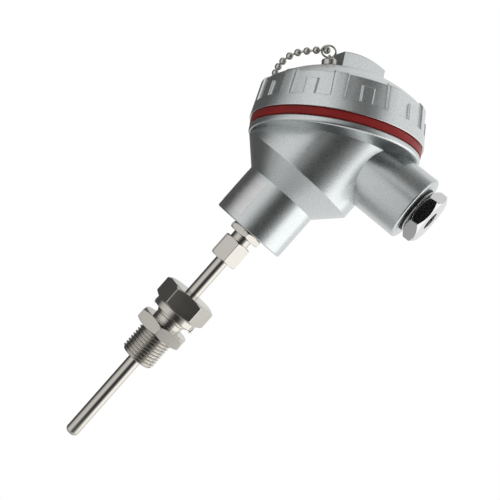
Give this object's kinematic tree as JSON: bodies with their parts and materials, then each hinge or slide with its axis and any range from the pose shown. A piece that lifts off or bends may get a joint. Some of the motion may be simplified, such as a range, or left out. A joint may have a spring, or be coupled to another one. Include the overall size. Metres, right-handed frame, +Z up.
{
  "type": "resistance thermometer",
  "caption": "Resistance temperature sensor: tilted cast connection head, castellated screw lid on a ball chain, cable gland, and a sliding compression fitting on a closed metal probe.",
  "frame": {"origin": "on the probe's axis, at the shoulder of the process thread", "axes": "+Z up the stem to the connection head, +X to the cable entry, the lid tilted towards -X"},
  "size_m": [0.0967, 0.075, 0.207],
  "materials": {
    "cast_silver": "cast, silver lacquer with a fine sparkle, satin",
    "red_silicone": "smooth silicone, satin",
    "nickel": "nickel plated, bright",
    "plated_brass": "nickel plated, bright",
    "black_rubber": "matt",
    "ceramic": "glazed off-white ceramic",
    "brass": "drawn, satin",
    "screw_steel": "zinc plated",
    "red_insulation": "satin",
    "white_insulation": "satin",
    "tinned_copper": "tinned",
    "copper": "bare copper",
    "potting": "cast resin",
    "mineral_filling": "pressed mineral powder",
    "stainless": "turned and polished stainless steel"
  },
  "bodies": {
    "fitting": {"compression_body": "stainless"},
    "cutting_ring": {"compression_ferrule": "stainless"},
    "compression_nut": {"compression_nut": "stainless"},
    "instrument": {"head_body": "cast_silver", "lid_gasket": "red_silicone", "body_chain_screw": "nickel", "body_chain_ring": "nickel", "bead_chain": "nickel", "gland_body": "plated_brass", "gland_washer": "black_rubber", "gland_seal": "black_rubber", "terminal_block": "ceramic", "terminal_clamps": "brass", "terminal_screws": "screw_steel", "block_screws": "screw_steel", "lead_wires_red": "red_insulation", "lead_wire_white": "white_insulation", "wire_sleeves": "tinned_copper", "lead_seal": "potting", "probe_sheath": "stainless", "sheath_filling": "mineral_filling", "sensing_element": "ceramic", "inner_conductors": "copper", "stem_bushing": "stainless", "stem_ferrule": "stainless"},
    "lid": {"lid": "cast_silver", "lid_chain_screw": "nickel", "lid_chain_ring": "nickel"},
    "gland_nut": {"gland_nut": "plated_brass"},
    "stem_nut": {"stem_nut": "stainless"}
  },
  "joints": [
    {"name": "compression_nut_turn", "type": "hinge", "parent": "fitting", "child": "compression_nut", "pos_m": [0, 0, 0.0175], "axis": [0, 0, 1], "range_deg": [0, 450]},
    {"name": "probe_turn", "type": "hinge", "parent": "fitting", "child": "cutting_ring", "pos_m": [0, 0, 0.0175], "axis": [0, 0, 1], "range_deg": [-180, 180]},
    {"name": "probe_slide", "type": "slide", "parent": "cutting_ring", "child": "instrument", "axis": [0, 0, 1], "range_m": [-0.019, 0.033]},
    {"name": "stem_nut_turn", "type": "hinge", "parent": "instrument", "child": "stem_nut", "pos_m": [0, 0, 0.047], "axis": [0, 0, 1], "range_deg": [0, 540]},
    {"name": "gland_nut_turn", "type": "hinge", "parent": "instrument", "child": "gland_nut", "pos_m": [0.0527, 0, 0.1106], "axis": [1, 0, 0], "range_deg": [0, 1080]},
    {"name": "lid_lift", "type": "slide", "parent": "instrument", "child": "lid", "axis": [-0.5, 0, 0.866], "range_m": [0, 0.03], "deforming": ["bead_chain"]}
  ]
}
